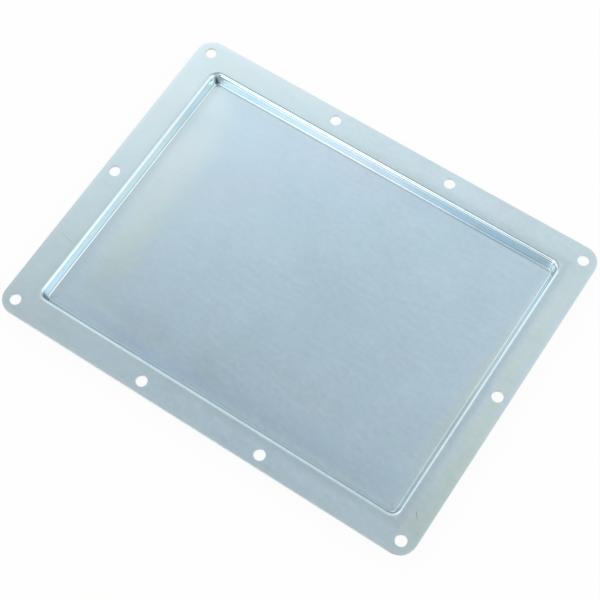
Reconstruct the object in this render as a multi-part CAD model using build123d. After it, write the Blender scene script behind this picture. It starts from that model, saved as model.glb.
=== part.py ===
from build123d import *
import math
import os

# Recess plate for a case or cabinet: a blank of zinc-plated sheet steel, pierced for
# rivets and pressed into a shallow rectangular dish with a flat flange all round.
# Millimetres. The origin is the centre of the flange's seating face, the underside that
# lies on the panel. +X runs along the plate, +Y across it, and +Z points out of the panel.

# Sheet and blank
sheet_thickness = 1.0
plate_length = 209.0
plate_width = 161.0
plate_corner_radius = 8.0

# Dish, measured on its upper face between the lines where the flange, the wall and the
# floor would meet if there were no bends
flange_width = 14.0
dish_depth = 5.5
wall_draft = 15.0  # degrees off square
floor_corner_radius = 2.3

# Inside radius of each bend
rim_bend_radius = 1.0
floor_bend_radius = 0.8

# Rivet holes, with each inset measured from the edge of the plate to the hole's centre
hole_diameter = 5.0
corner_hole_inset = 6.5
side_hole_inset = 5.5
long_side_hole_spacing = 60.0

# Width of the worn edge that the tools leave on the upper face, rounded along the outline
# and bevelled round the holes
edge_break = 0.15

# Levels of the faces
flange_top = sheet_thickness
floor_top = flange_top - dish_depth
floor_underside = floor_top - sheet_thickness

# Mouth of the dish, which the draft makes larger than the floor
draft_slope = math.tan(math.radians(wall_draft))
mouth_length = plate_length - 2 * flange_width
mouth_width = plate_width - 2 * flange_width
mouth_corner_radius = floor_corner_radius + dish_depth * draft_slope

# Distance between the two faces of the wall, measured level
wall_across = sheet_thickness / math.cos(math.radians(wall_draft))


def hole_centres():
    """One hole in each corner, a pair along each long side and one on each short side."""
    corner_x = plate_length / 2 - corner_hole_inset
    corner_y = plate_width / 2 - corner_hole_inset
    long_side_x = long_side_hole_spacing / 2
    long_side_y = plate_width / 2 - side_hole_inset
    short_side_x = plate_length / 2 - side_hole_inset
    signs = [(-1, -1), (-1, 1), (1, -1), (1, 1)]
    corners = [(sx * corner_x, sy * corner_y) for sx, sy in signs]
    long_sides = [(sx * long_side_x, sy * long_side_y) for sx, sy in signs]
    short_sides = [(-short_side_x, 0), (short_side_x, 0)]
    return corners + long_sides + short_sides


def pierced_blank():
    """The flat blank with its holes, and without the sharpness of its upper edges."""
    outline = RectangleRounded(plate_length, plate_width, plate_corner_radius)
    blank = extrude(outline, amount=sheet_thickness)
    blank = fillet(blank.faces().sort_by(Axis.Z)[-1].edges(), edge_break)
    punch = Cylinder(hole_diameter / 2, 3 * sheet_thickness)
    blank = blank - Locations(hole_centres()) * punch
    hole_rims = blank.faces().sort_by(Axis.Z)[-1].inner_wires().edges()
    return chamfer(hole_rims, edge_break)


def tapered_block(grow, bottom, lower_bend):
    """A block of the mouth's outline, grown by one distance all round, that narrows from
    the flange's top to a lower level and is rounded along its lower edge."""
    top_plane = Plane((0, 0, flange_top), z_dir=(0, 0, -1))
    outline = RectangleRounded(
        mouth_length + 2 * grow, mouth_width + 2 * grow, mouth_corner_radius + grow
    )
    block = extrude(top_plane * outline, amount=flange_top - bottom, taper=wall_draft)
    return fillet(block.faces().sort_by(Axis.Z)[0].edges(), lower_bend)


def rim_edges(solid, side):
    """The outline of the dish in one face of the flange, the longest one inside that
    face. Side -1 is the upper face, and -2 is the seating face below it."""
    flange_face = solid.faces().filter_by(Axis.Z).sort_by(Axis.Z)[side]
    return flange_face.inner_wires().sort_by(SortBy.LENGTH)[-1].edges()


def recess_plate():
    """The blank with the dish pressed into it, as thick in the wall and in both bends as
    it is in the flange."""
    dish_outside = tapered_block(
        wall_across, floor_underside, floor_bend_radius + sheet_thickness
    )
    dish_cavity = tapered_block(0, floor_top, floor_bend_radius)
    plate = pierced_blank() + dish_outside
    plate = fillet(rim_edges(plate, -2), rim_bend_radius)
    plate = plate - dish_cavity
    return fillet(rim_edges(plate, -1), rim_bend_radius + sheet_thickness)


os.makedirs("parts", exist_ok=True)
export_step(recess_plate(), "parts/recess_plate.step")
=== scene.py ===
import math

import bpy
import numpy as np
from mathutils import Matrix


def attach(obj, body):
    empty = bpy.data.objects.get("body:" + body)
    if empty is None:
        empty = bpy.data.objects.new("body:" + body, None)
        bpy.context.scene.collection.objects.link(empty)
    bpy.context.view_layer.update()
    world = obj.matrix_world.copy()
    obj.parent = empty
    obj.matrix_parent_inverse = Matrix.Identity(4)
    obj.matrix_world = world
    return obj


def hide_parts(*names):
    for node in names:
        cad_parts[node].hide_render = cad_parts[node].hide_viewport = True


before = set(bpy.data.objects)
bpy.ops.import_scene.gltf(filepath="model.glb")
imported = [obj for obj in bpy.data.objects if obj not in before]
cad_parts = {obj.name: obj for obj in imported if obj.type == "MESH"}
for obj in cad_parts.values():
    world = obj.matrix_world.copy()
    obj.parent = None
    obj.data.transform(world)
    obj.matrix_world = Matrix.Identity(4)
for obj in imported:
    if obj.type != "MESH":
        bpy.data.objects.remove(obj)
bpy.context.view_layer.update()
scene = bpy.context.scene
print("frame loaded")


# The plate, in millimetres until the mesh is made. x runs along it, y across it, z out
# of the panel, and z 0 is the seating face. An inset is a distance in from its edge.
plate = {
    "halfLength": 104.5,
    "halfWidth": 80.5,
    "cornerRadius": 8.0,
    "thickness": 1.0,
    "dishDepth": 5.5,
    "wallLineInset": 14.0,  # where the wall's line meets the flange's face
    "wallAngle": 75.0,  # from level, in degrees
    "mouthCornerRadius": 3.77,
    "rimLead": (0.64, 0.4),  # length and turn of the soft start of the rim's bend
    "rimBend": 2.0,  # radius on the upper face
    "floorBend": 0.8,
    "floorFade": 5.0,  # length over which the floor's bend dies away
    "fadeTurn": (2.3, 0.2),  # the turn left for it, at the short sides and the long sides
    "floorCrown": 0.3,  # how much higher the floor's middle is
    "crownReach": 7.0,  # and how far from its edge that is steepest
    "edgeRoll": 0.18,  # rounding the punch leaves on the upper edges
    "fracture": 0.04,  # how far the torn lower part of a sheared edge falls back
    "cutHeights": (0.62, 0.5, 0.04, 0.0),  # of its rings, below the rolled ones
    "rollSteps": 4,
    "edgeInsets": (0.9, 0.45, 0.24),  # of the last rings of the flange
    "rowCounts": (3, 13, 4, 11, 10),  # lead, rim's bend, wall, floor's bend, fade
    "traceStep": 0.002,
    "cornerSteps": 24,
    "sparseStep": 4.5,  # length of a quad along the straight sides
    # rings of the floor, as shares of its outermost one
    "floorShares": (0.1, 0.2, 0.32, 0.44, 0.55, 0.64, 0.71, 0.765, 0.81, 0.845)
    + (0.875, 0.9, 0.92, 0.938, 0.955, 0.97, 0.985),
}

holes = {
    "radius": 2.5,
    "cornerInset": 6.5,
    "sideInset": 5.5,
    "sideX": 30.0,
    "patchHalf": 4.7,  # half length of the flange that is remade round a side hole
    "patchInsets": (10.4, 1.5),
    "patchSteps": 14,
    "patchRings": 7,
    "patchEase": 1.6,  # over 1, the rings draw together towards the hole
}


def smoothStep(t):
    t = np.clip(t, 0.0, 1.0)
    return t * t * (3 - 2 * t)


# Section of the upper face from the flange to the floor, by its turning angle: the angle
# grows smoothly over the lead and evenly over the rim's bend, holds along the wall, and
# comes back evenly over the floor's bend and smoothly over the fade.
# Adding up its cosine and its sine gives the inset and the drop.
def traceSection(p, fadeTurn, wallLength):
    leadLength, leadTurn = p["rimLead"]
    rimTurn = p["wallAngle"] - leadTurn
    floorTurn = p["wallAngle"] - fadeTurn
    rimLength = math.radians(rimTurn) * p["rimBend"]
    floorLength = math.radians(floorTurn) * p["floorBend"]
    marks = np.cumsum([0, leadLength, rimLength, wallLength, floorLength, p["floorFade"]])
    step = p["traceStep"]
    s = np.arange(0, marks[-1] + step, step)
    turn = leadTurn * smoothStep(s / leadLength)
    turn += rimTurn * np.clip((s - marks[1]) / rimLength, 0, 1)
    turn -= floorTurn * np.clip((s - marks[3]) / floorLength, 0, 1)
    turn -= fadeTurn * smoothStep((s - marks[4]) / p["floorFade"])
    turn = np.radians(turn)
    inset = np.concatenate([[0], np.cumsum(np.cos(turn[:-1]) * step)])
    drop = np.concatenate([[0], np.cumsum(np.sin(turn[:-1]) * step)])
    return marks, s, turn, inset, drop - drop.min()


# The wall takes up what the bends leave of the depth, and the section is then slid so
# that the wall lies on its line. Returns inset, height and turn of each row.
def dishRows(p, fadeTurn):
    wallLength = 2.0  # a first guess
    slope = math.radians(p["wallAngle"])
    for _ in range(4):
        drop = traceSection(p, fadeTurn, wallLength)[4][-1]
        wallLength += (p["dishDepth"] - drop) / math.sin(slope)
    marks, s, turn, inset, drop = traceSection(p, fadeTurn, wallLength)
    middle = (marks[2] + marks[3]) / 2
    onLine = p["wallLineInset"] + np.interp(middle, s, drop) / math.tan(slope)
    inset = inset + onLine - np.interp(middle, s, inset)
    rows = [np.linspace(a, b, n + 1)[:-1] for a, b, n in zip(marks, marks[1:], p["rowCounts"])]
    rows = np.concatenate(rows + [marks[-1:]])
    height = p["thickness"] - np.interp(rows, s, drop)
    return np.interp(rows, s, inset), height, np.interp(rows, s, turn)


# Corner radius of the ring at an inset: it keeps the dish's corner centre over the bends
# and the wall, dies away smoothly on the floor, and runs to the plate's on the flange.
def ringCornerRadius(p, inset, flangeEnd, floorStart):
    reach = p["wallLineInset"] + p["mouthCornerRadius"]
    last = reach - floorStart
    onDish = np.where(
        inset < floorStart,
        reach - inset,
        last * np.exp(-(np.maximum(inset, floorStart) - floorStart) / last),
    )
    share = np.clip(inset / flangeEnd, 0, 1)
    onFlange = p["cornerRadius"] + (reach - flangeEnd - p["cornerRadius"]) * share
    return np.where(inset < flangeEnd, onFlange, onDish)


# Columns of the grid, anticlockwise from the right side. Each is a place on the box of
# the corner centres, from -1 to 1 in x and y, and the outward direction of the radius.
def ringColumns(p, h, centreX, centreY):
    def sideStops(half, centres):
        stops = [-1.0]
        counts = []
        for centre in centres:
            low, high = [(centre + e * h["patchHalf"]) / half for e in (-1, 1)]
            counts += [math.ceil((low - stops[-1]) * half / p["sparseStep"]), h["patchSteps"]]
            stops += [low, high]
        counts.append(math.ceil((1 - stops[-1]) * half / p["sparseStep"]))
        stops.append(1.0)
        parts = [np.linspace(a, b, n + 1)[:-1] for a, b, n in zip(stops, stops[1:], counts)]
        return np.concatenate(parts)[1:], np.cumsum([0] + counts)

    longSide, longMarks = sideStops(centreX, [-h["sideX"], h["sideX"]])
    shortSide, shortMarks = sideStops(centreY, [0.0])
    columns, patches, start = [], [], 0
    for turn in range(4):
        side, marks = (shortSide, shortMarks) if turn % 2 == 0 else (longSide, longMarks)
        angle = turn * math.pi / 2
        spin = np.array([[math.cos(angle), math.sin(angle)], [-math.sin(angle), math.cos(angle)]])
        spin = np.round(spin)
        straight = np.column_stack([np.ones(len(side)), side]) @ spin
        outward = np.tile(np.array([1.0, 0.0]) @ spin, (len(side), 1))
        columns.append(np.hstack([straight, outward]))
        patches += [(start - 1 + a, start - 1 + b) for a, b in zip(marks[1::2], marks[2::2])]
        start += len(side)
        bend = angle + np.linspace(0, math.pi / 2, p["cornerSteps"] + 1)
        corner = np.tile(np.array([1.0, 1.0]) @ spin, (len(bend), 1))
        columns.append(np.hstack([corner, np.column_stack([np.cos(bend), np.sin(bend)])]))
        patches.append((start, start + p["cornerSteps"]))
        start += len(bend)
    return np.vstack(columns), patches


# Centre of the hole nearest to a point of the flange.
def nearestHole(p, h, point):
    cornerX, cornerY = p["halfLength"] - h["cornerInset"], p["halfWidth"] - h["cornerInset"]
    sideX, sideY = p["halfLength"] - h["sideInset"], p["halfWidth"] - h["sideInset"]
    signs = np.array([(-1, -1), (-1, 1), (1, -1), (1, 1)])
    centres = np.vstack(
        [signs * (cornerX, cornerY), signs * (h["sideX"], sideY), [(-sideX, 0), (sideX, 0)]]
    )
    return centres[np.argmin(np.hypot(*(centres - point).T))]


# Rows of the whole closed sheet, from the middle of the floor's upper face outwards, over
# the edge, and back along the lower face, which lies one thickness below the upper one
# along its normal. Each row has an inset, a height, a share of the floor's ring, and how
# far it is bent and cut.
def sheetRows(p, h, fadeTurn):
    inset, height, turn = dishRows(p, fadeTurn)
    inner, outer = h["patchInsets"]
    roll, fracture, thickness = p["edgeRoll"], p["fracture"], p["thickness"]
    level = height[0]
    patch = np.linspace(inner, outer, h["patchSteps"] + 1)
    flat = np.concatenate([patch, p["edgeInsets"]])
    floorShare = np.array(p["floorShares"])
    middle = len(floorShare)

    face = {
        "inset": np.concatenate([[inset[-1]] * middle, inset[::-1], flat]),
        "height": np.concatenate([[height[-1]] * middle, height[::-1], [level] * len(flat)]),
        "turn": np.concatenate([[0] * middle, turn[::-1], [0] * len(flat)]),
        "share": np.concatenate([floorShare, np.ones(len(inset) + len(flat))]),
    }
    lower = {k: v[::-1].copy() for k, v in face.items()}
    lower["inset"] -= thickness * np.sin(lower["turn"])
    lower["height"] -= thickness * np.cos(lower["turn"])

    quarter = np.linspace(0, math.pi / 2, p["rollSteps"] + 1)
    rolled = thickness - roll * (1 - np.cos(quarter))
    rim = {
        "inset": np.concatenate([roll * (1 - np.sin(quarter)), [0, 0, fracture, fracture + 0.03]]),
        "height": np.concatenate([rolled, p["cutHeights"]]) + level - thickness,
    }
    rim["turn"] = np.zeros(len(rim["inset"]))
    rim["share"] = np.ones(len(rim["inset"]))
    rows = {k: np.concatenate([face[k], rim[k], lower[k]]) for k in face}
    upperCount, rimCount = len(face["inset"]), len(rim["inset"])
    rows["cut"] = np.zeros(len(rows["inset"]))
    rows["cut"][upperCount + p["rollSteps"] : upperCount + rimCount - 1] = 1
    firstPatchRow = middle + len(inset)
    patchRows = (firstPatchRow, firstPatchRow + h["patchSteps"])
    return rows, patchRows, inset[0], level


# One hole: rings that run from the cut-out in the upper face to a circle, over the rolled
# edge, down the punched wall, and back to the cut-out in the lower face. Each ring lies
# between the cut-out's outline and a circle with its points at the same bearings.
def holeRings(p, h, level, upperLoop, lowerLoop, centre):
    bearing = np.arctan2(upperLoop[:, 1] - centre[1], upperLoop[:, 0] - centre[0])
    spoke = np.column_stack([np.cos(bearing), np.sin(bearing)])
    roll, fracture, thickness = p["edgeRoll"], p["fracture"], p["thickness"]
    quarter = np.linspace(0, math.pi / 2, p["rollSteps"] + 1)[1:]
    torn = np.array([0, 0, 1, 1.7]) * fracture
    radius = h["radius"] + np.concatenate([roll * (1 - np.sin(quarter)), torn])
    height = np.concatenate([thickness - roll * (1 - np.cos(quarter)), p["cutHeights"]])
    height += level - thickness
    share = 1 - (1 - np.linspace(0, 1, h["patchRings"] + 1)[1:]) ** h["patchEase"]

    def spread(loop, edgeRadius, level):
        circle = np.column_stack([centre + spoke * edgeRadius, np.full(len(spoke), level)])
        return loop[None] * (1 - share[:, None, None]) + circle[None] * share[:, None, None]

    heights = np.broadcast_to(height[:, None, None], (len(radius), len(spoke), 1))
    wall = np.concatenate([centre + radius[:, None, None] * spoke[None], heights], axis=2)
    upper = spread(upperLoop, h["radius"] + roll, level)
    lower = spread(lowerLoop, radius[-1], level - thickness)[::-1][1:]
    cut = np.zeros(len(upper) + len(wall) + len(lower))
    cut[len(upper) + p["rollSteps"] - 1 : len(upper) + len(wall) - 1] = 1
    return np.concatenate([upper, wall, lower]), cut


# Quads between neighbouring rows and neighbouring columns of a ring of index numbers.
def ringQuads(index):
    ahead = np.roll(index, -1, axis=1)
    return np.stack([index[:-1], index[1:], ahead[1:], ahead[:-1]], axis=-1)


def buildPlate(p, h):
    shortRows, patchRows, flangeEnd, level = sheetRows(p, h, p["fadeTurn"][0])
    longRows = sheetRows(p, h, p["fadeTurn"][1])[0]
    middleInset = np.array([h["sideInset"]])
    wallEnd = p["wallLineInset"] + p["dishDepth"] / math.tan(math.radians(p["wallAngle"]))
    middleRadius = ringCornerRadius(p, middleInset, flangeEnd, wallEnd)[0]
    columns, patches = ringColumns(
        p,
        h,
        p["halfLength"] - h["sideInset"] - middleRadius,
        p["halfWidth"] - h["sideInset"] - middleRadius,
    )

    # the section of the short sides turns into that of the long sides round each corner
    short = columns[:, 2] ** 2
    rows = {
        k: shortRows[k][:, None] * short + longRows[k][:, None] * (1 - short) for k in shortRows
    }
    radius = ringCornerRadius(p, rows["inset"], flangeEnd, wallEnd)
    rowCount, columnCount = rows["inset"].shape

    # every row's ring: the box of corner centres plus the radius along the direction
    boxX = p["halfLength"] - rows["inset"] - radius
    boxY = p["halfWidth"] - rows["inset"] - radius
    x = (columns[:, 0] * boxX + columns[:, 2] * radius) * rows["share"]
    y = (columns[:, 1] * boxY + columns[:, 3] * radius) * rows["share"]
    grid = np.stack([x, y, rows["height"]], axis=-1)
    index = np.arange(rowCount * columnCount).reshape(rowCount, columnCount)
    quads = ringQuads(index)

    # the floor's two middles are closed by a fan each
    poles = np.array([[0, 0, grid[0, 0, 2]], [0, 0, grid[-1, 0, 2]]])
    poleStart = rowCount * columnCount
    ahead = np.roll(index, -1, axis=1)
    upperFan = np.column_stack([np.full(columnCount, poleStart), index[0], ahead[0]])
    lowerFan = np.column_stack([np.full(columnCount, poleStart + 1), ahead[-1], index[-1]])

    points = [grid.reshape(-1, 3), poles]
    bent = [np.abs(rows["turn"]).ravel(), np.zeros(2)]
    cut = [rows["cut"].ravel(), np.zeros(2)]
    used = poleStart + 2
    keep = np.ones(quads.shape[:2], bool)
    allQuads = []
    r0, r1 = patchRows
    m0, m1 = rowCount - 1 - r1, rowCount - 1 - r0
    for c0, c1 in patches:
        keep[r0:r1, c0:c1] = False
        keep[m0:m1, c0:c1] = False
        # outline of the cut-out, anticlockwise: along the outer row, in, back, and out
        across = np.arange(c0, c1)
        loopRows = np.concatenate(
            [np.full(c1 - c0, r1), np.arange(r1, r0, -1), np.full(c1 - c0, r0), np.arange(r0, r1)]
        )
        loopColumns = np.concatenate(
            [across, np.full(r1 - r0, c1), across[::-1] + 1, np.full(r1 - r0, c0)]
        )
        upperIndex = index[loopRows, loopColumns]
        lowerIndex = index[rowCount - 1 - loopRows, loopColumns]
        flat = grid.reshape(-1, 3)
        centre = nearestHole(p, h, flat[upperIndex, :2].mean(axis=0))
        rings, ringCut = holeRings(p, h, level, flat[upperIndex], flat[lowerIndex], centre)
        own = used + np.arange(rings.shape[0] * rings.shape[1]).reshape(rings.shape[:2])
        used += own.size
        stack = np.vstack([upperIndex[None], own, lowerIndex[None]])
        allQuads.append(ringQuads(stack)[..., ::-1].reshape(-1, 4))
        points.append(rings.reshape(-1, 3))
        bent.append(np.zeros(own.size))
        cut.append(np.repeat(ringCut, rings.shape[1]))
    allQuads.insert(0, quads[keep])
    points, bent, cut = np.concatenate(points), np.concatenate(bent), np.concatenate(cut)
    allQuads = np.concatenate(allQuads)

    # a crown on the floor: 1 - (1 + a) exp(-a) for the distance a from its edge, over the
    # reach, along the length and across it
    edgeX = p["halfLength"] - wallEnd - np.abs(points[:, 0])
    edgeY = p["halfWidth"] - wallEnd - np.abs(points[:, 1])
    edgeX, edgeY = [np.clip(e, 0, None) / p["crownReach"] for e in (edgeX, edgeY)]
    swell = (1 - (1 + edgeX) * np.exp(-edgeX)) * (1 - (1 + edgeY) * np.exp(-edgeY))
    points[:, 2] += p["floorCrown"] * swell

    # points inside the cut-outs belong to no face and are left out
    kept, faces = np.unique(
        np.concatenate([allQuads.ravel(), upperFan.ravel(), lowerFan.ravel()]), return_inverse=True
    )
    quadFaces = faces[: allQuads.size].reshape(-1, 4)
    fanFaces = faces[allQuads.size :].reshape(-1, 3)
    mesh = bpy.data.meshes.new("recessPlate")
    mesh.from_pydata((points[kept] / 1000).tolist(), [], quadFaces.tolist() + fanFaces.tolist())
    mesh.polygons.foreach_set("use_smooth", np.ones(len(mesh.polygons), bool))
    for name, values in (("bent", bent[kept]), ("cut", cut[kept])):
        mesh.attributes.new(name, "FLOAT", "POINT").data.foreach_set(
            "value", values.astype(np.float32)
        )
    sheared = np.concatenate([cut[kept][quadFaces].min(axis=1), np.zeros(len(fanFaces))]) > 0.5
    mesh.polygons.foreach_set("material_index", sheared.astype(np.int32))
    mesh.update()
    piece = bpy.data.objects.new("recessPlateFormed", mesh)
    scene.collection.objects.link(piece)
    return piece


plateSheet = buildPlate(plate, holes)
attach(plateSheet, "root")
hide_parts("recess_plate")
print("plate formed:", len(plateSheet.data.polygons), "faces")


def addNode(tree, kind, place, inputs=None, **settings):
    node = tree.nodes.new(kind)
    node.location = place
    for name, value in settings.items():
        setattr(node, name, value)
    for name, value in (inputs or {}).items():
        if isinstance(value, bpy.types.NodeSocket):
            tree.links.new(value, node.inputs[name])
        else:
            node.inputs[name].default_value = value
    return node


def mathNode(tree, operation, place, *values, clamp=False):
    inputs = dict(enumerate(values))
    node = addNode(tree, "ShaderNodeMath", place, inputs, operation=operation, use_clamp=clamp)
    return node.outputs[0]


def vectorNode(tree, operation, place, *values, output="Vector"):
    inputs = dict(enumerate(values))
    return addNode(tree, "ShaderNodeVectorMath", place, inputs, operation=operation).outputs[output]


def scaleNode(tree, place, vector, scale):
    inputs = {0: vector, "Scale": scale}
    return addNode(tree, "ShaderNodeVectorMath", place, inputs, operation="SCALE").outputs[0]


def turnNode(tree, place, vector, angle):
    inputs = {"Vector": vector, "Angle": angle}
    return addNode(tree, "ShaderNodeVectorRotate", place, inputs).outputs[0]


# Value carried from one range to another, straight or with a smooth start and end.
def rangeNode(tree, place, value, fromMin, fromMax, toMin=0.0, toMax=1.0, smooth=True):
    inputs = {"Value": value, "From Min": fromMin, "From Max": fromMax, "To Min": toMin}
    inputs["To Max"] = toMax
    kind = "SMOOTHSTEP" if smooth else "LINEAR"
    return addNode(tree, "ShaderNodeMapRange", place, inputs, interpolation_type=kind).outputs[0]


def mixColour(tree, place, share, first, second, blend="MIX"):
    inputs = {0: share, 6: first, 7: second}
    node = addNode(tree, "ShaderNodeMix", place, inputs, data_type="RGBA", blend_type=blend)
    return node.outputs[2]


def mixValue(tree, place, share, first, second):
    return addNode(tree, "ShaderNodeMix", place, {0: share, 2: first, 3: second}).outputs[0]


# The same value in all three channels of a colour.
def greyNode(tree, place, value):
    return addNode(tree, "ShaderNodeCombineColor", place, {i: value for i in range(3)}).outputs[0]


def bumpNode(tree, place, distance, height, normal=None):
    inputs = {"Strength": 1.0, "Distance": distance, "Height": height}
    if normal is not None:
        inputs["Normal"] = normal
    return addNode(tree, "ShaderNodeBump", place, inputs).outputs[0]


def noiseNode(tree, place, vector, scale, detail=2.0, roughness=0.5, distortion=0.0):
    inputs = {"Vector": vector, "Scale": scale, "Detail": detail, "Roughness": roughness}
    inputs["Distortion"] = distortion
    return addNode(tree, "ShaderNodeTexNoise", place, inputs).outputs["Fac"]


# An effect of its own. It takes vectors, whose first value is a tuple or None, and
# numbers, and it gives numbers.
def startGroup(name, takes, gives):
    tree = bpy.data.node_groups.new(name, "ShaderNodeTree")
    for label, value in takes.items():
        kind = "NodeSocketFloat" if isinstance(value, float) else "NodeSocketVector"
        socket = tree.interface.new_socket(label, in_out="INPUT", socket_type=kind)
        if value is not None:
            socket.default_value = value
    for label in gives:
        tree.interface.new_socket(label, in_out="OUTPUT", socket_type="NodeSocketFloat")
    taken = addNode(tree, "NodeGroupInput", (-1600, 0)).outputs
    given = addNode(tree, "NodeGroupOutput", (800, 0)).inputs
    return tree, taken, given


def useGroup(tree, group, place, inputs):
    return addNode(tree, "ShaderNodeGroup", place, inputs, node_tree=group).outputs


# Streaks that the rolls leave along the sheet, as noise stretched along a bearing near x,
# and the finer grain between them. Both are near 0.5 on average.
def makeRollingGrain():
    takes = {"Place": None, "Bearing": 0.07, "Length": 0.0062, "Width": 0.0022}
    tree, taken, given = startGroup("rollingGrain", takes, ["Streak", "Fine"])
    turned = turnNode(tree, (-1200, 200), taken["Place"], taken["Bearing"])
    along = mathNode(tree, "DIVIDE", (-1400, 100), 1.0, taken["Length"])
    across = mathNode(tree, "DIVIDE", (-1400, -60), 1.0, taken["Width"])
    scale = addNode(tree, "ShaderNodeCombineXYZ", (-1200, 0), {0: along, 1: across, 2: across})
    stretched = vectorNode(tree, "MULTIPLY", (-1000, 100), turned, scale.outputs[0])
    streak = noiseNode(tree, (-800, 100), stretched, 1.0, 2.0, 0.5, 0.35)
    # the fine grain is 4 times as short and 6 times as narrow
    fine = vectorNode(tree, "MULTIPLY", (-1000, -150), stretched, (4.0, 6.0, 6.0))
    fine = noiseNode(tree, (-800, -150), fine, 1.0, 3.0, 0.6)
    tree.links.new(streak, given["Streak"])
    tree.links.new(fine, given["Fine"])
    return tree


# Bloom in the passivation film: an oval area that is full in its middle and dies away to
# its rim, 1 - smoothstep(1 - soft, 1, r) where r is the distance from the centre in half
# sizes, pushed about by noise so that its outline wanders.
def makeFilmBloom():
    takes = {"Place": None, "Centre": (0, 0, 0), "Half Size": (0.02, 0.02, 1)}
    takes |= {"Soft": 1.0, "Wander": 0.0025}
    tree, taken, given = startGroup("filmBloom", takes, ["Mask"])
    inputs = {"Vector": taken["Place"], "Scale": 55.0, "Detail": 3.0}
    cloud = addNode(tree, "ShaderNodeTexNoise", (-1400, -200), inputs).outputs["Color"]
    cloud = vectorNode(tree, "SUBTRACT", (-1200, -200), cloud, (0.5, 0.5, 0.5))
    # the noise seldom leaves the quarter round its middle, hence the 4
    reach = mathNode(tree, "MULTIPLY", (-1200, -380), taken["Wander"], 4.0)
    push = scaleNode(tree, (-1000, -200), cloud, reach)
    place = vectorNode(tree, "ADD", (-800, 0), taken["Place"], push)
    away = vectorNode(tree, "SUBTRACT", (-600, 0), place, taken["Centre"])
    away = vectorNode(tree, "DIVIDE", (-400, 0), away, taken["Half Size"])
    away = vectorNode(tree, "MULTIPLY", (-200, 0), away, (1, 1, 0))
    reach = vectorNode(tree, "LENGTH", (0, 0), away, output="Value")
    start = mathNode(tree, "SUBTRACT", (0, -200), 1.0, taken["Soft"])
    tree.links.new(rangeNode(tree, (300, 0), reach, start, 1.0, 1.0, 0.0), given["Mask"])
    return tree


# Band that places painted highlight and painted shade: full along its middle, with its strength
# falling smoothly to nothing at
# # the half size across x and across y. Ends is how much of a half size the fall takes.
def makePaintedBand():
    takes = {"Place": None, "Centre": (0, 0, 0), "Half Size": (0.02, 0.02, 1), "Ends": (1, 1, 1)}
    tree, taken, given = startGroup("paintedBand", takes, ["Mask"])
    away = vectorNode(tree, "SUBTRACT", (-1400, 0), taken["Place"], taken["Centre"])
    away = vectorNode(tree, "DIVIDE", (-1200, 0), away, taken["Half Size"])
    away = vectorNode(tree, "ABSOLUTE", (-1000, 0), away)
    start = vectorNode(tree, "SUBTRACT", (-1000, -200), (1, 1, 1), taken["Ends"])
    away = addNode(tree, "ShaderNodeSeparateXYZ", (-800, 0), {0: away}).outputs
    start = addNode(tree, "ShaderNodeSeparateXYZ", (-800, -200), {0: start}).outputs
    falls = [rangeNode(tree, (-500, -250 * i), away[i], start[i], 1.0, 1.0, 0.0) for i in range(2)]
    tree.links.new(mathNode(tree, "MULTIPLY", (-200, 0), *falls), given["Mask"])
    return tree


# Distance in from a rounded rectangle's outline, in metres: q is |place| less the box of
# the corner centres, and the distance is radius - |max(q, 0)| - min(max(q), 0).
def makeInsetFrom():
    takes = {"Place": None, "Half Size": (0.1, 0.08, 0), "Corner": 0.008}
    tree, taken, given = startGroup("insetFromOutline", takes, ["Inset"])
    size = vectorNode(tree, "ABSOLUTE", (-1400, 100), taken["Place"])
    inputs = {0: taken["Corner"], 1: taken["Corner"]}
    corner = addNode(tree, "ShaderNodeCombineXYZ", (-1400, -100), inputs)
    box = vectorNode(tree, "SUBTRACT", (-1200, -60), taken["Half Size"], corner.outputs[0])
    over = vectorNode(tree, "SUBTRACT", (-1000, 60), size, box)
    over = vectorNode(tree, "MULTIPLY", (-800, 60), over, (1, 1, 0))
    outside = vectorNode(tree, "MAXIMUM", (-600, 160), over, (0, 0, 0))
    outside = vectorNode(tree, "LENGTH", (-400, 160), outside, output="Value")
    parts = addNode(tree, "ShaderNodeSeparateXYZ", (-600, -60), {0: over})
    inside = mathNode(tree, "MAXIMUM", (-400, -60), parts.outputs[0], parts.outputs[1])
    inside = mathNode(tree, "MINIMUM", (-200, -60), inside, 0.0)
    total = mathNode(tree, "ADD", (0, 60), outside, inside)
    tree.links.new(mathNode(tree, "SUBTRACT", (200, 60), taken["Corner"], total), given["Inset"])
    return tree


# Hairline scratches from handling: noise drawn out a hundredfold along one bearing, kept
# only where it peaks, and thinned out by a coarse noise.
def makeHairlines():
    takes = {"Place": None, "Bearing": 0.0, "Threshold": 0.66}
    tree, taken, given = startGroup("handlingHairlines", takes, ["Mask"])
    turned = turnNode(tree, (-1300, 0), taken["Place"], taken["Bearing"])
    drawn = vectorNode(tree, "MULTIPLY", (-1100, 0), turned, (32, 3600, 32))
    lines = noiseNode(tree, (-900, 0), drawn, 1.0, 1.0, 0.4)
    top = mathNode(tree, "ADD", (-700, -160), taken["Threshold"], 0.06)  # soft over this much
    lines = rangeNode(tree, (-500, 0), lines, taken["Threshold"], top)
    coarse = noiseNode(tree, (-900, -300), turned, 38.0, 2.0)
    coarse = rangeNode(tree, (-500, -300), coarse, 0.5, 0.62)
    tree.links.new(mathNode(tree, "MULTIPLY", (-200, 0), lines, coarse), given["Mask"])
    return tree


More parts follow.
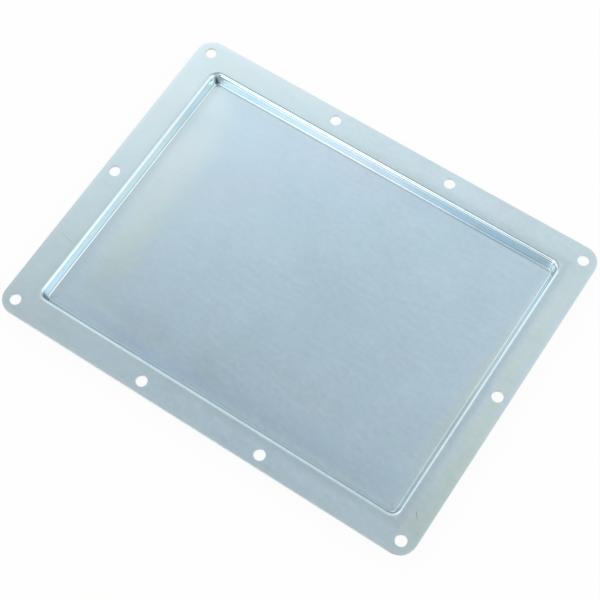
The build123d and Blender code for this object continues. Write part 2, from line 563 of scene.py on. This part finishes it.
# One scored line: full within its half width of the stretch between two points, gone at
# twice that. The nearest point of the stretch is a + clamp(dot(p - a, b - a) / |b - a|^2).
def makeScoredLine():
    takes = {"Place": None, "From": (0, 0, 0), "To": (0.01, 0, 0), "Half Width": 0.0001}
    tree, taken, given = startGroup("scoredLine", takes, ["Mask"])
    cloud = noiseNode(tree, (-1500, -300), taken["Place"], 900.0, 2.0)
    level = vectorNode(tree, "MULTIPLY", (-1400, 0), taken["Place"], (1, 1, 0))
    away = vectorNode(tree, "SUBTRACT", (-1200, 0), level, taken["From"])
    run = vectorNode(tree, "SUBTRACT", (-1200, -160), taken["To"], taken["From"])
    along = vectorNode(tree, "DOT_PRODUCT", (-1000, 60), away, run, output="Value")
    whole = vectorNode(tree, "DOT_PRODUCT", (-1000, -160), run, run, output="Value")
    share = mathNode(tree, "DIVIDE", (-800, 0), along, whole, clamp=True)
    foot = scaleNode(tree, (-600, -100), run, share)
    gap = vectorNode(tree, "DISTANCE", (-400, 0), away, foot, output="Value")
    gap = mathNode(tree, "DIVIDE", (-200, 0), gap, taken["Half Width"])
    mask = rangeNode(tree, (0, 0), gap, 1.0, 2.0, 1.0, 0.0)
    ends = rangeNode(tree, (0, -300), cloud, 0.25, 0.55, 0.35, 1.0)
    tree.links.new(mathNode(tree, "MULTIPLY", (300, 0), mask, ends), given["Mask"])
    return tree


rollingGrain = makeRollingGrain()
filmBloom = makeFilmBloom()
paintedBand = makePaintedBand()
insetFromOutline = makeInsetFrom()
handlingHairlines = makeHairlines()
scoredLine = makeScoredLine()
print("effects made:", len(bpy.data.node_groups))


# Bright zinc under a thin passivation film. The colours are the metal's own at the
# flange, where the film pools warm, and where it is thickest and bluest. The tints are
# what the film's slight changes of thickness multiply the colour by.
zinc = {
    "flangeColour": (0.60, 0.745, 0.80, 1.0),
    "floorColour": (0.52, 0.68, 0.785, 1.0),
    "warmColour": (0.63, 0.75, 0.745, 1.0),
    "coolColour": (0.50, 0.655, 0.79, 1.0),
    "paleColour": (0.70, 0.81, 0.86, 1.0),
    "scoreColour": (0.22, 0.25, 0.28, 1.0),
    "pinkTint": (1.085, 0.985, 1.0, 1.0),
    "yellowTint": (1.0, 0.995, 0.88, 1.0),
    "greenTint": (0.98, 1.01, 0.99, 1.0),
    "blueTint": (0.985, 1.015, 1.09, 1.0),
    "bentTint": (1.14, 1.07, 1.04, 1.0),  # the film is thinner over the bends and the wall
    "roughness": 0.19,
    "wornRoughness": 0.13,  # where the bends were polished by the die
    "warmRoughness": 0.02,  # added in the warm blooms, and in the score marks
    "scoreRoughness": 0.25,
    "streakShade": 0.1,  # how much the streaks change the colour, and the roughness
    "streakRoughness": 0.05,
    "streaksAtLeft": 0.55,  # share of their strength that they have at the left
    "streakReach": (-0.085, 0.0),  # x from where to where they grow to their full strength
    "fineShare": 0.3,  # weight of the fine grain, and of the flecks, beside the streaks
    "fleckShare": 1.1,
    "cloudShade": 0.12,
    "cloudRoughness": 0.04,
    "cloudScale": 42.0,
    "fleckScale": 500.0,
    "hueScale": 60.0,
    "pinkClouds": 0.3,  # greatest share of the tints in the soft clouds
    "greenClouds": 0.6,
    # hairlines: bearing in radians, and threshold of the noise that leaves them over
    "hairlines": ((0.35, 0.68), (-0.9, 0.7)),
    "hairShade": -0.03,
    "hairRoughness": 0.06,
    "hairDepth": -0.35,
    "scoreDepth": -6.0,  # in grain heights
    "grainHeight": 0.000004,
    "drawHeight": 0.000006,  # of the lines that the die drew down the wall
    "wornTurn": (0.25, 0.9),  # slope of the sheet, in radians, from where to where it is worn
    "floorBlend": 0.006,  # width over which the floor's film takes over, in the dish's mouth
    "edgePale": (0.003, 0.5),  # width and strength of the pale band along the outline
    # areas of the film: bearing on the face in mm, half sizes in mm, strength
    "warmBlooms": (
        ((-79, 12), (17, 80), 0.7),
        ((85, -8), (6, 70), 0.3),
        ((99, 4), (5, 66), 0.8),
        ((98, -70), (14, 12), 0.3),
        ((90.4, -12), (2.4, 64), 0.9),
        ((-86, 73), (20, 9), 0.6),
        ((-98, 40), (8, 40), 0.4),
    ),
    "coolBlooms": (
        ((-36, -62), (60, 6), 0.9),
        # this one, along the right flange next to the dish, is a bluer film and painted shade in
        # one
        ((92.5, 0), (2.6, 62), 0.5),
        ((30, 62), (50, 5), 0.4),
        ((45, -58), (40, 8), 0.4),
        ((-62, -75), (30, 8), 0.25),
        ((83, 6), (8, 48), 0.3),
    ),
    "paleBlooms": (
        ((30, 77), (95, 10), 0.4),
        ((99, 54), (7, 22), 0.35),
        ((62, -75), (32, 8), 0.2),
        ((-50, 80), (60, 5), 0.4),
        ((-86, 57), (16, 14), 0.5),
        ((-60, -57), (60, 6), 0.2),
        ((35, -48), (75, 14), 0.15),
    ),
    "blueBlooms": (
        ((30, -74), (130, 10), 1.0),
        ((40, -52), (80, 16), 0.4),
        ((-30, -61), (70, 7), 0.5),
        ((30, 75), (90, 8), 0.5),
        ((58, 65.2), (42, 3.2), 1.0),
    ),
    "pinkBlooms": (
        ((-14, 60), (46, 14), 0.5),
        ((-52, 34), (30, 50), 0.4),
        ((-66, -26), (16, 26), 0.35),
        ((-102, 60), (12, 60), 0.3),
        ((-70, 80), (50, 9), 0.4),
    ),
    "yellowBlooms": (
        ((-72, -30), (15, 40), 0.75),
        ((-66, 10), (12, 30), 0.3),
        ((102, -46), (7, 56), 0.75),
        ((99, 44), (4, 26), 0.4),
        ((87.5, -4), (4, 72), 0.7),
    ),
    # bands of painted highlight on the wall, bands of painted shade along the dish's bends (the
    # last darkens
    #     # the floor's middle), and spots of painted shade in the dish's corners and at the right
    #     wall's foot:
    #     # middle and half sizes in mm, share of them in which they fade, strength
    "paintedHighlightBands": (
        ((-20, 65.9), (60, 1.1), (0.6, 0.3), 0.6),
        ((-89.7, -10), (1.0, 60), (0.4, 0.5), 0.3),
        ((87.2, 65.2), (2.4, 1.6), (0.9, 0.9), 1.0),
    ),
    "darkBands": (
        ((0, -65.4), (91, 2.4), (0.06, 0.9), 0.85),
        ((90.2, 0), (0.75, 67), (0.5, 0.1), 0.45),
        ((89.3, -26), (0.8, 44), (0.6, 0.6), 0.5),
        ((62, 64.5), (34, 1.1), (0.7, 0.8), 0.6),
        ((16, 0), (48, 28), (1.0, 1.0), 0.14),
    ),
    "paintedShadeSpots": (
        ((-88.0, -65.7), (3.4, 2.4), (0.9, 0.9), 0.95),
        ((-88.5, 64.5), (1.5, 1.5), (0.9, 0.9), 1.0),
        ((88.4, -64.4), (3.4, 3.4), (0.6, 0.6), 0.6),
        ((90.1, -36), (0.8, 38), (0.5, 0.4), 0.15),
    ),
    # colours of the painted highlights, of the darker bands of painted shade, and of the spots of
    # painted shade
    "paintedHighlightColour": (0.94, 0.95, 0.94, 1.0),
    "bandColour": (0.37, 0.49, 0.56, 1.0),
    "paintedShadeColour": (0.09, 0.16, 0.2, 1.0),
    # painted shade along the wall's foot, just above the floor's bend
    "wallFoot": (-3.6, 0.6, 0.65),  # middle and half height of the dark line there, strength
    # painted shade on the flange next to the dish, darkest just before the rim's bend: inset where
    # it
    #     # starts, is full, and ends, in mm, and its strength at the left and at the right
    "rimShade": (8.0, 12.2, 13.2, 0.06, 0.3),
    "rimShadeReach": 0.07,  # x of the right, and less that of the left, in metres
    # scored lines: from, to, half width, all in mm, and depth of colour
    "scores": (
        ((-99.5, -37.7), (-93.2, -39.2), 0.09, 0.3),
        ((96.9, -60.7), (98.8, -63.2), 0.16, 0.6),
        ((-101, -6.4), (-96, -7.6), 0.6, 0.05),
    ),
}


# The fine finish that both zinc surfaces share: streaks, grain, hairlines and clouds, as
# a shade that multiplies the colour, a change of the roughness, and a height.
def makeZincTexture(z):
    takes = {"Place": None, "Shade": z["streakShade"], "Gloss": z["streakRoughness"]}
    takes |= {"Clouds": z["cloudShade"]}
    tree, taken, given = startGroup("zincTexture", takes, ["Shade", "Roughness", "Height"])
    grain = useGroup(tree, rollingGrain, (-1300, 200), {"Place": taken["Place"]})
    clouds = noiseNode(tree, (-1300, -100), taken["Place"], z["cloudScale"], 3.0, 0.55)
    fleck = noiseNode(tree, (-1300, -300), taken["Place"], z["fleckScale"], 2.0, 0.6)
    hair = []
    for i, (bearing, threshold) in enumerate(z["hairlines"]):
        inputs = {"Place": taken["Place"], "Bearing": bearing, "Threshold": threshold}
        hair.append(useGroup(tree, handlingHairlines, (-1300, -500 - 200 * i), inputs)["Mask"])
    hair = mathNode(tree, "MAXIMUM", (-1000, -500), *hair)

    parts = [grain["Streak"], grain["Fine"], clouds, fleck]
    for i, part in enumerate(parts):
        parts[i] = mathNode(tree, "SUBTRACT", (-1000, 300 - 170 * i), part, 0.5)
    streak, fine, clouds, fleck = parts
    lines = mathNode(tree, "MULTIPLY_ADD", (-800, 250), fine, z["fineShare"], streak)
    lines = mathNode(tree, "MULTIPLY_ADD", (-600, 150), fleck, z["fleckShare"], lines)
    shade = mathNode(tree, "MULTIPLY_ADD", (-400, 300), lines, taken["Shade"], 1.0)
    shade = mathNode(tree, "MULTIPLY_ADD", (-200, 300), clouds, taken["Clouds"], shade)
    shade = mathNode(tree, "MULTIPLY_ADD", (0, 300), hair, z["hairShade"], shade)
    tree.links.new(shade, given["Shade"])
    rough = mathNode(tree, "MULTIPLY", (-200, 0), lines, taken["Gloss"])
    rough = mathNode(tree, "MULTIPLY_ADD", (0, 0), clouds, z["cloudRoughness"], rough)
    rough = mathNode(tree, "MULTIPLY_ADD", (200, 0), hair, z["hairRoughness"], rough)
    tree.links.new(rough, given["Roughness"])
    height = mathNode(tree, "MULTIPLY_ADD", (200, -250), hair, z["hairDepth"], lines)
    tree.links.new(height, given["Height"])
    return tree


zincTexture = makeZincTexture(zinc)


def startMaterial(name):
    material = bpy.data.materials.new(name)
    material.use_nodes = True
    tree = material.node_tree
    shader = tree.nodes["Principled BSDF"]
    shader.location = (1400, 0)
    tree.nodes["Material Output"].location = (1750, 0)
    shader.inputs["Metallic"].default_value = 1.0
    place = addNode(tree, "ShaderNodeTexCoord", (-2200, 0)).outputs["Object"]
    return material, tree, shader, place


def metres(pair):
    return (pair[0] / 1000, pair[1] / 1000, 0.0)


# Adds the masks of one list up, each with its strength, and stops at 1. An entry is its
# centre, its half sizes, its ends where it is a band, and its strength.
def addSpots(tree, place, group, spots, corner):
    x = corner[0]
    total = 0.0
    for i, (centre, half, *ends, strength) in enumerate(spots):
        y = corner[1] - 260 * i
        inputs = {"Place": place, "Centre": metres(centre), "Half Size": (*metres(half)[:2], 1.0)}
        if ends:
            inputs["Ends"] = (*ends[0], 1.0)
        mask = useGroup(tree, group, (x, y), inputs)["Mask"]
        total = mathNode(tree, "MULTIPLY_ADD", (x + 200, y), mask, strength, total)
    return mathNode(tree, "MINIMUM", (x + 420, corner[1]), total, 1.0)


def makeBrightZinc(z, p):
    material, tree, shader, place = startMaterial("brightZinc")
    parts = addNode(tree, "ShaderNodeSeparateXYZ", (-1900, 600), {0: place}).outputs
    along, up = parts["X"], parts["Z"]
    strength = [z["streakShade"] * share for share in (z["streaksAtLeft"], 1.0)]
    strength = rangeNode(tree, (-1700, 600), along, *z["streakReach"], *strength)
    texture = useGroup(tree, zincTexture, (-1500, 600), {"Place": place, "Shade": strength})

    def insetFrom(y, lessInset, corner):
        half = metres([p[side] - lessInset for side in ("halfLength", "halfWidth")])
        inputs = {"Place": place, "Half Size": half, "Corner": corner / 1000}
        return useGroup(tree, insetFromOutline, (-1500, y), inputs)["Inset"]

    def blooms(name, y):
        return addSpots(tree, place, filmBloom, z[name], (-1500, y))

    def bands(name, y):
        return addSpots(tree, place, paintedBand, z[name], (-1500, y))

    # the floor of the dish took a bluer film than the flange, paler along the outline
    inDish = insetFrom(250, p["wallLineInset"], p["mouthCornerRadius"])
    inDish = rangeNode(tree, (-1200, 250), inDish, 0.0, z["floorBlend"])
    colour = mixColour(tree, (-700, 250), inDish, z["flangeColour"], z["floorColour"])
    warm = blooms("warmBlooms", -300)
    colour = mixColour(tree, (-500, 200), warm, colour, z["warmColour"])
    colour = mixColour(tree, (-300, 150), blooms("coolBlooms", -1900), colour, z["coolColour"])
    fromEdge = insetFrom(0, 0.0, p["cornerRadius"])
    pale = rangeNode(tree, (-1200, 0), fromEdge, 0.0, z["edgePale"][0], z["edgePale"][1], 0.0)
    pale = mathNode(tree, "MAXIMUM", (-900, 0), pale, blooms("paleBlooms", -6900))
    colour = mixColour(tree, (-100, 100), pale, colour, z["paleColour"])

    # slight changes of hue, by soft clouds and by place
    hue = noiseNode(tree, (-1500, -5200), place, z["hueScale"], 3.0, 0.55)
    pinkCloud = rangeNode(tree, (-1200, -5200), hue, 0.5, 0.72, 0.0, z["pinkClouds"])
    pink = mathNode(tree, "ADD", (-900, -5200), blooms("pinkBlooms", -5700), pinkCloud, clamp=True)
    green = rangeNode(tree, (-1200, -5450), hue, 0.5, 0.28, 0.0, z["greenClouds"])
    blue = blooms("blueBlooms", -8700)
    yellow = blooms("yellowBlooms", -11300)
    bent = addNode(tree, "ShaderNodeAttribute", (-1500, 900), attribute_name="bent")
    worn = rangeNode(tree, (-1200, 900), bent.outputs["Fac"], *z["wornTurn"])
    tints = ((pink, "pink"), (green, "green"), (blue, "blue"), (yellow, "yellow"), (worn, "bent"))
    for i, (mask, name) in enumerate(tints):
        corner = (-60 + 20 * i, -100 - 100 * i)
        colour = mixColour(tree, corner, mask, colour, z[name + "Tint"], "MULTIPLY")

    # painted highlights on parts of the wall and at one of its corners, and painted shade: in bands
    #     # along the bends of the near sides, next to the dish on the flange, at the wall's foot,
    #     in spots in
    #     # the dish's corners, and over the floor's middle
    paintedHighlight = mathNode(tree, "MULTIPLY", (-700, -9900), bands("paintedHighlightBands", -9900), worn)
    colour = mixColour(tree, (20, 20), paintedHighlight, colour, z["paintedHighlightColour"])
    start, full, end, atLeft, atRight = z["rimShade"]
    rising = rangeNode(tree, (-1200, -250), fromEdge, start / 1000, full / 1000)
    falling = rangeNode(tree, (-1200, -500), fromEdge, full / 1000, end / 1000, 1.0, 0.0)
    reach = z["rimShadeReach"]
    shadow = rangeNode(tree, (-1200, -4900), along, -reach, reach, atLeft, atRight)
    shadow = mathNode(tree, "MULTIPLY", (-900, -4900), shadow, rising)
    shadow = mathNode(tree, "MULTIPLY", (-700, -4900), shadow, falling)
    middle, halfHeight, strength = z["wallFoot"]
    foot = mathNode(tree, "SUBTRACT", (-1200, -4600), up, middle / 1000)
    foot = mathNode(tree, "ABSOLUTE", (-1000, -4600), foot)
    foot = rangeNode(tree, (-800, -4600), foot, 0.0, halfHeight / 1000, strength, 0.0)
    foot = mathNode(tree, "MULTIPLY", (-600, -4600), foot, worn)
    dark = mathNode(tree, "MAXIMUM", (-400, -4000), bands("darkBands", -3500), shadow)
    dark = mathNode(tree, "MAXIMUM", (-400, -4300), dark, foot)
    colour = mixColour(tree, (50, 0), dark, colour, z["bandColour"])
    paintedSpotShade = mathNode(tree, "MULTIPLY", (-700, -12700), bands("paintedShadeSpots", -12700), worn)
    colour = mixColour(tree, (70, -50), paintedSpotShade, colour, z["paintedShadeColour"])

    # score marks darken the film down to the steel
    score = 0.0
    for i, (start, end, halfWidth, depth) in enumerate(z["scores"]):
        y = -13900 - 250 * i
        inputs = {"Place": place, "From": metres(start), "To": metres(end)}
        inputs["Half Width"] = halfWidth / 1000
        mask = useGroup(tree, scoredLine, (-1500, y), inputs)["Mask"]
        mask = mathNode(tree, "MULTIPLY", (-1250, y), mask, depth)
        score = mathNode(tree, "MAXIMUM", (-1000, y), mask, score)
    colour = mixColour(tree, (100, 50), score, colour, z["scoreColour"])
    shade = greyNode(tree, (100, 400), texture["Shade"])
    colour = mixColour(tree, (350, 100), 1.0, colour, shade, "MULTIPLY")
    tree.links.new(colour, shader.inputs["Base Color"])

    # the die polished the bends and drew fine lines down the wall
    rough = mixValue(tree, (-100, 900), worn, z["roughness"], z["wornRoughness"])
    rough = mathNode(tree, "ADD", (200, 800), rough, texture["Roughness"])
    rough = mathNode(tree, "MULTIPLY_ADD", (420, 700), warm, z["warmRoughness"], rough)
    rough = mathNode(tree, "MULTIPLY_ADD", (620, 700), score, z["scoreRoughness"], rough)
    tree.links.new(rough, shader.inputs["Roughness"])

    drawn = vectorNode(tree, "MULTIPLY", (-1200, 1150), place, (1500, 1500, 60))
    drawn = noiseNode(tree, (-1000, 1150), drawn, 1.0, 2.0, 0.6)
    drawn = mathNode(tree, "MULTIPLY", (-800, 1150), drawn, worn)
    lines = bumpNode(tree, (600, 1150), z["drawHeight"], drawn)
    height = mathNode(tree, "MULTIPLY_ADD", (600, 400), score, z["scoreDepth"], texture["Height"])
    grain = bumpNode(tree, (850, 400), z["grainHeight"], height, lines)
    tree.links.new(grain, shader.inputs["Normal"])
    return material


# The cut edge: a burnished band at the top, where the punch went in, and a duller torn
# band below it, both with fine marks down the cut.
shearedEdge = {
    "burnished": (0.62, 0.72, 0.76, 1.0),
    "torn": (0.44, 0.48, 0.50, 1.0),
    "tornFrom": (0.00057, 0.00065),  # height, with the wander, over which the tear starts
    "tornWander": 0.0003,
    "roughness": (0.24, 0.5),  # burnished, torn
    "streakShade": 0.12,
    "streakRoughness": 0.1,
    "markShade": (0.3, 0.82),  # of the marks: how much they change the colour, and its least
    "markHeight": 0.00003,
}


def makeShearedEdge(e):
    material, tree, shader, place = startMaterial("shearedEdge")
    inputs = {"Place": place, "Shade": e["streakShade"], "Gloss": e["streakRoughness"]}
    texture = useGroup(tree, zincTexture, (-1500, 400), inputs)
    marks = vectorNode(tree, "MULTIPLY", (-1500, 0), place, (2600, 2600, 240))
    marks = noiseNode(tree, (-1300, 0), marks, 1.0, 3.0, 0.65)
    wander = noiseNode(tree, (-1300, -250), place, 700.0, 2.0)
    height = addNode(tree, "ShaderNodeSeparateXYZ", (-1500, -450), {0: place}).outputs["Z"]
    height = mathNode(tree, "MULTIPLY_ADD", (-1000, -300), wander, e["tornWander"], height)
    torn = rangeNode(tree, (-800, -300), height, *e["tornFrom"], 1.0, 0.0)
    colour = mixColour(tree, (-400, 0), torn, e["burnished"], e["torn"])
    shade = mathNode(tree, "MULTIPLY_ADD", (-600, 300), marks, *e["markShade"])
    shade = mathNode(tree, "MULTIPLY", (-400, 300), shade, texture["Shade"])
    shade = greyNode(tree, (-200, 300), shade)
    colour = mixColour(tree, (0, 100), 1.0, colour, shade, "MULTIPLY")
    tree.links.new(colour, shader.inputs["Base Color"])
    rough = rangeNode(tree, (-400, -500), torn, 0.0, 1.0, *e["roughness"], smooth=False)
    rough = mathNode(tree, "ADD", (-200, -500), rough, texture["Roughness"])
    tree.links.new(rough, shader.inputs["Roughness"])
    tree.links.new(bumpNode(tree, (400, -500), e["markHeight"], marks), shader.inputs["Normal"])
    return material


plateSheet.data.materials.append(makeBrightZinc(zinc, plate))
plateSheet.data.materials.append(makeShearedEdge(shearedEdge))
print("finish made")


studio = {
    "floorLevel": -0.0055,
    "floorSize": 6.0,
    "floorColour": (0.9, 0.9, 0.9, 1.0),
    "floorLift": 0.93,  # share of plain white that a view of the floor gets
    "backdrop": 0.985,  # what a view past the floor's edge gets
    "horizon": 0.43,
    "zenith": -0.01,
    "leastLight": 0.02,  # what the dark panels leave at least
    # soft panels round the plate: bearing from x and height, both in degrees, narrowness,
    # and strength, which is under 0 where something dark stood
    "panels": (
        (9, 16, 5, 0.9),  # broad and low on the right
        (77, 48, 6.5, 1.7),  # broad, over the far side
        (146, 27, 12, 1.15),
        (205, 37, 11, 1.35),
        (309, 42, 9, 1.05),
        (104, 21, 66, 0.45),  # narrow ones, from here to the last but two
        (136, 54, 66, 0.45),
        (224, 61, 66, 0.4),
        (237, 64, 66, 2.15),
        (249, 23, 55, 2.15),
        (252, 33, 160, 0.3),
        (3, 45, 66, 2.0),
        (313, 35, 50, -1.3),  # the dark ones
        (82, 45, 18, -1.2),
    ),
}


def makeFloor(s):
    size = s["floorSize"] / 2
    mesh = bpy.data.meshes.new("studioFloor")
    corners = [(-size, -size), (size, -size), (size, size), (-size, size)]
    mesh.from_pydata([(x, y, s["floorLevel"]) for x, y in corners], [], [(0, 1, 2, 3)])
    floor = bpy.data.objects.new("studioFloor", mesh)
    scene.collection.objects.link(floor)
    material = bpy.data.materials.new("paleFloor")
    material.use_nodes = True
    tree = material.node_tree
    shader = tree.nodes["Principled BSDF"]
    shader.inputs["Base Color"].default_value = s["floorColour"]
    shader.inputs["Roughness"].default_value = 1.0
    shader.inputs["Specular IOR Level"].default_value = 0.0
    path = addNode(tree, "ShaderNodeLightPath", (-700, 300)).outputs
    seen = mathNode(tree, "MAXIMUM", (-500, 300), path["Is Camera Ray"], path["Is Glossy Ray"])
    seen = mathNode(tree, "MAXIMUM", (-320, 300), seen, path["Is Transmission Ray"])
    share = mathNode(tree, "MULTIPLY", (-140, 300), seen, s["floorLift"])
    white = addNode(tree, "ShaderNodeEmission", (-140, 120))
    inputs = {0: share, 1: shader.outputs[0], 2: white.outputs[0]}
    mix = addNode(tree, "ShaderNodeMixShader", (80, 200), inputs)
    # a view from below looks through the floor at the plate's underside
    below = addNode(tree, "ShaderNodeNewGeometry", (80, 420)).outputs["Backfacing"]
    clear = addNode(tree, "ShaderNodeBsdfTransparent", (80, 0))
    inputs = {0: below, 1: mix.outputs[0], 2: clear.outputs[0]}
    mix = addNode(tree, "ShaderNodeMixShader", (300, 200), inputs)
    tree.nodes["Material Output"].location = (520, 200)
    tree.links.new(mix.outputs[0], tree.nodes["Material Output"].inputs["Surface"])
    mesh.materials.append(material)


# One soft panel of the room: strength * exp(narrowness * (cosine to its middle - 1)).
def makeSoftPanel():
    takes = {"Aim": None, "Middle": (0, 0, 1), "Narrowness": 10.0, "Strength": 1.0}
    tree, taken, given = startGroup("softPanel", takes, ["Light"])
    sides = taken["Aim"], taken["Middle"]
    cosine = vectorNode(tree, "DOT_PRODUCT", (-1300, 0), *sides, output="Value")
    fall = mathNode(tree, "SUBTRACT", (-1100, 0), cosine, 1.0)
    fall = mathNode(tree, "MULTIPLY", (-900, 0), fall, taken["Narrowness"])
    fall = mathNode(tree, "EXPONENT", (-700, 0), fall)
    tree.links.new(mathNode(tree, "MULTIPLY", (-500, 0), fall, taken["Strength"]), given["Light"])
    return tree


def makeRoom(s):
    world = bpy.data.worlds.new("studioRoom")
    scene.world = world
    world.use_nodes = True
    tree = world.node_tree
    background = tree.nodes["Background"]
    aim = addNode(tree, "ShaderNodeTexCoord", (-1200, 0)).outputs["Generated"]
    panel = makeSoftPanel()
    height = addNode(tree, "ShaderNodeSeparateXYZ", (-1000, 300), {0: aim}).outputs["Z"]
    light = rangeNode(tree, (-800, 300), height, 0.0, 1.0, s["horizon"], s["zenith"], smooth=False)
    for i, (bearing, rise, narrowness, strength) in enumerate(s["panels"]):
        bearing, rise = math.radians(bearing), math.radians(rise)
        level = math.cos(rise)
        middle = (math.cos(bearing) * level, math.sin(bearing) * level, math.sin(rise))
        inputs = {"Aim": aim, "Middle": middle, "Narrowness": narrowness, "Strength": strength}
        one = useGroup(tree, panel, (-1000, -220 * i), inputs)["Light"]
        light = mathNode(tree, "ADD", (-700, -220 * i), light, one)
    light = mathNode(tree, "MAXIMUM", (-400, 0), light, s["leastLight"])
    seen = addNode(tree, "ShaderNodeLightPath", (-600, 400)).outputs["Is Camera Ray"]
    light = mixValue(tree, (-200, 100), seen, light, s["backdrop"])
    tree.links.new(light, background.inputs["Strength"])
    background.inputs["Color"].default_value = (1.0, 1.0, 1.0, 1.0)


makeFloor(studio)
makeRoom(studio)
print("studio made")


view = {
    "place": (0.1745, -0.2310, 0.6262),
    "angles": (24.07, 1.62, 33.51),
    "lens": 95.82,
    "sensor": 36.0,
}


def makeCamera(v):
    data = bpy.data.cameras.new("viewCamera")
    data.lens = v["lens"]
    data.sensor_width = v["sensor"]
    data.clip_start, data.clip_end = 0.01, 20.0
    camera = bpy.data.objects.new("viewCamera", data)
    camera.location = v["place"]
    camera.rotation_euler = [math.radians(a) for a in v["angles"]]
    scene.collection.objects.link(camera)
    scene.camera = camera


makeCamera(view)
scene.view_settings.view_transform = "Standard"
print("camera placed")
